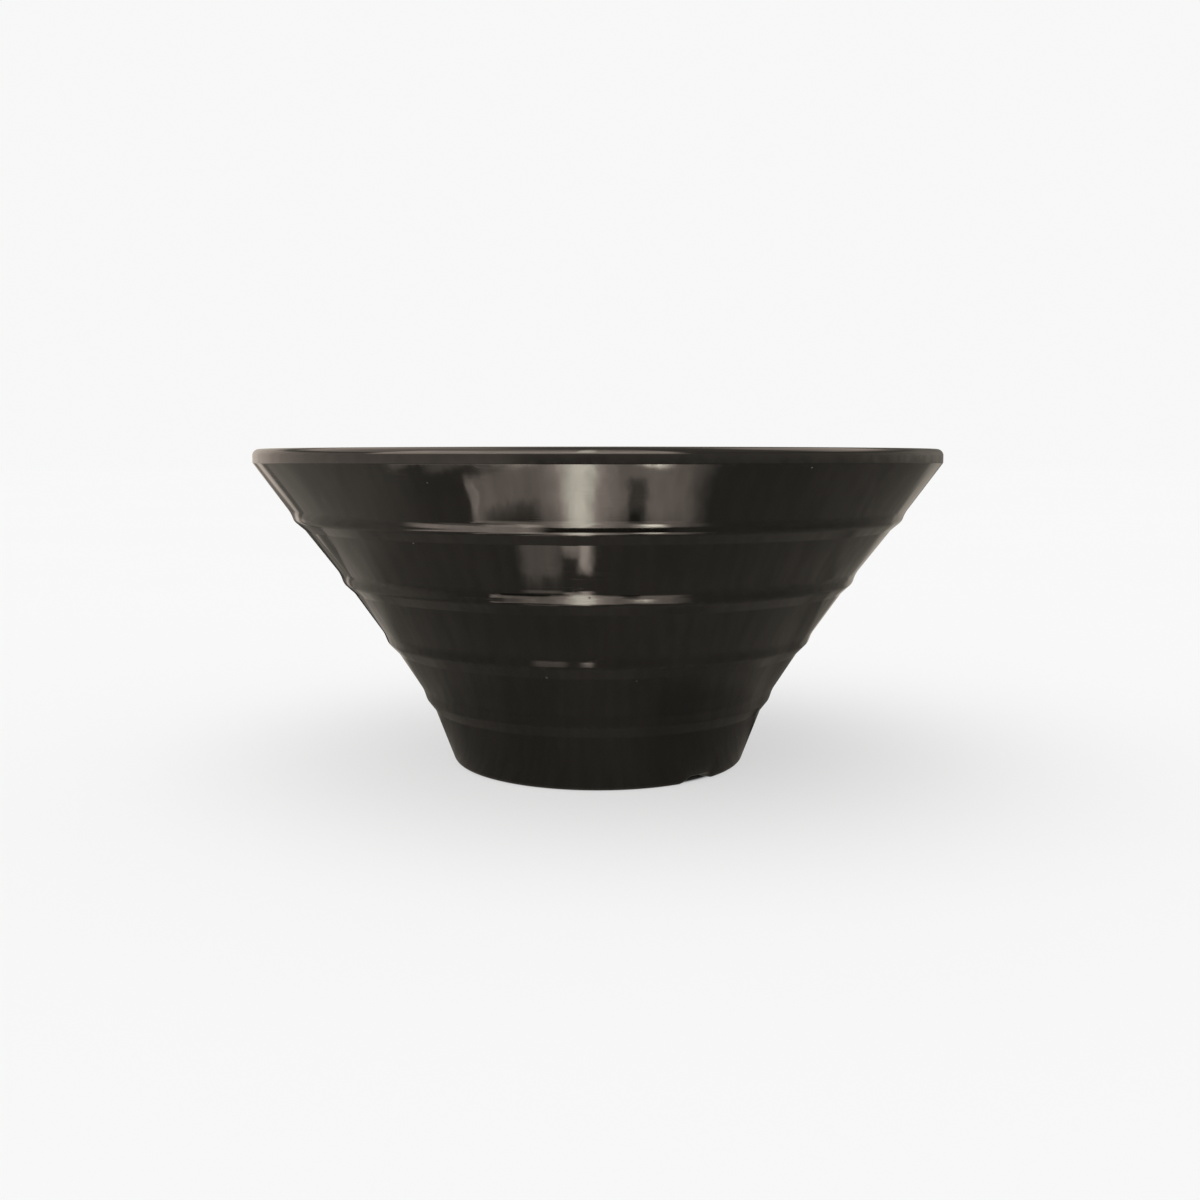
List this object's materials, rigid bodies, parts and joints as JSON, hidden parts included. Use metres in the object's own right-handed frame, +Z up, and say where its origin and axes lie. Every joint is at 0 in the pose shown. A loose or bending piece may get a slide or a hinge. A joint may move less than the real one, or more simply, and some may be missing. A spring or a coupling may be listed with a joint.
{
  "type": "hair color bowl",
  "caption": "Flared salon bowl for mixing hair color: stepped conical wall, plain squared lip and narrow ring foot with drain notches, moulded in glossy dark plastic.",
  "frame": {"origin": "middle of the foot's resting face, on the bowl's axis", "axes": "+Z up along the bowl's axis, +X through the middle of a drain notch in the foot"},
  "size_m": [0.15, 0.15, 0.07],
  "materials": {
    "bowl": "glossy, very dark warm black"
  },
  "bodies": {
    "root": {"bowl": "bowl"}
  },
  "joints": []
}
